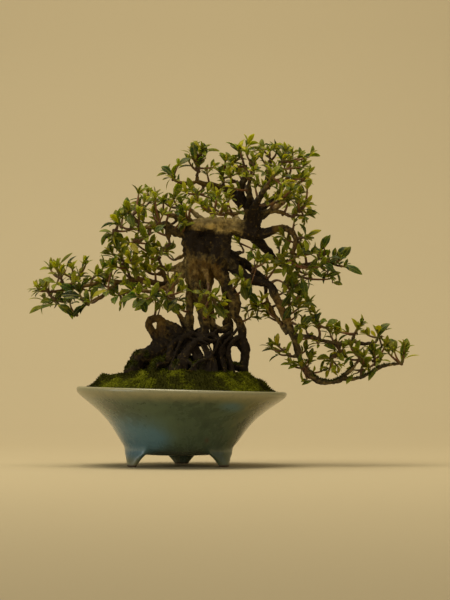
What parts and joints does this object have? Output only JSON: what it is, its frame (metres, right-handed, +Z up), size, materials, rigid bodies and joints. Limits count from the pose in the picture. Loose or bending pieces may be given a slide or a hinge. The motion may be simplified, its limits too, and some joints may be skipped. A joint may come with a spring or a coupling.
{
  "type": "azalea bonsai",
  "caption": "Azalea bonsai in semi-cascade style: twisting trunks on exposed roots, leafy sprays and a falling branch, in a flared glazed bowl on small feet.",
  "frame": {"origin": "middle of the object's box at floor level, on the flat bottoms of the feet", "axes": "+Z up, -Y towards the viewer, +X to the right along the falling branch"},
  "size_m": [0.2408, 0.1294, 0.2046],
  "materials": {
    "celadon_glaze": "mottled celadon glaze on stoneware, buff at the rim",
    "screen_plastic": "matt black",
    "potting_soil": "rough and crumbly",
    "green_moss": "short soft tufts",
    "azalea_bark": "rough fissured bark, paler on the upper sides",
    "azalea_leaf": "satin leaves on reddish twigs"
  },
  "bodies": {
    "root": {"pot": "celadon_glaze", "drain_screen": "screen_plastic", "soil": "potting_soil", "moss_carpet": "green_moss", "tree_wood": "azalea_bark", "spray_01": "azalea_leaf", "spray_02": "azalea_leaf", "spray_03": "azalea_leaf", "spray_04": "azalea_leaf", "spray_05": "azalea_leaf", "spray_06": "azalea_leaf", "spray_07": "azalea_leaf", "spray_08": "azalea_leaf", "spray_09": "azalea_leaf", "spray_10": "azalea_leaf", "spray_11": "azalea_leaf", "spray_12": "azalea_leaf", "spray_13": "azalea_leaf", "spray_14": "azalea_leaf", "spray_15": "azalea_leaf", "spray_16": "azalea_leaf", "spray_17": "azalea_leaf", "spray_18": "azalea_leaf", "spray_19": "azalea_leaf", "spray_20": "azalea_leaf", "spray_21": "azalea_leaf", "spray_22": "azalea_leaf", "spray_23": "azalea_leaf", "spray_24": "azalea_leaf", "spray_25": "azalea_leaf", "spray_26": "azalea_leaf", "spray_27": "azalea_leaf", "spray_28": "azalea_leaf", "spray_29": "azalea_leaf", "spray_30": "azalea_leaf", "spray_31": "azalea_leaf", "spray_32": "azalea_leaf", "spray_33": "azalea_leaf", "spray_34": "azalea_leaf", "spray_35": "azalea_leaf", "spray_36": "azalea_leaf", "spray_37": "azalea_leaf", "spray_38": "azalea_leaf", "spray_39": "azalea_leaf", "spray_40": "azalea_leaf", "spray_41": "azalea_leaf", "spray_42": "azalea_leaf", "spray_43": "azalea_leaf", "spray_44": "azalea_leaf", "spray_45": "azalea_leaf", "spray_46": "azalea_leaf", "spray_47": "azalea_leaf", "spray_48": "azalea_leaf", "spray_49": "azalea_leaf", "spray_50": "azalea_leaf", "spray_51": "azalea_leaf", "spray_52": "azalea_leaf", "spray_53": "azalea_leaf"}
  },
  "joints": []
}
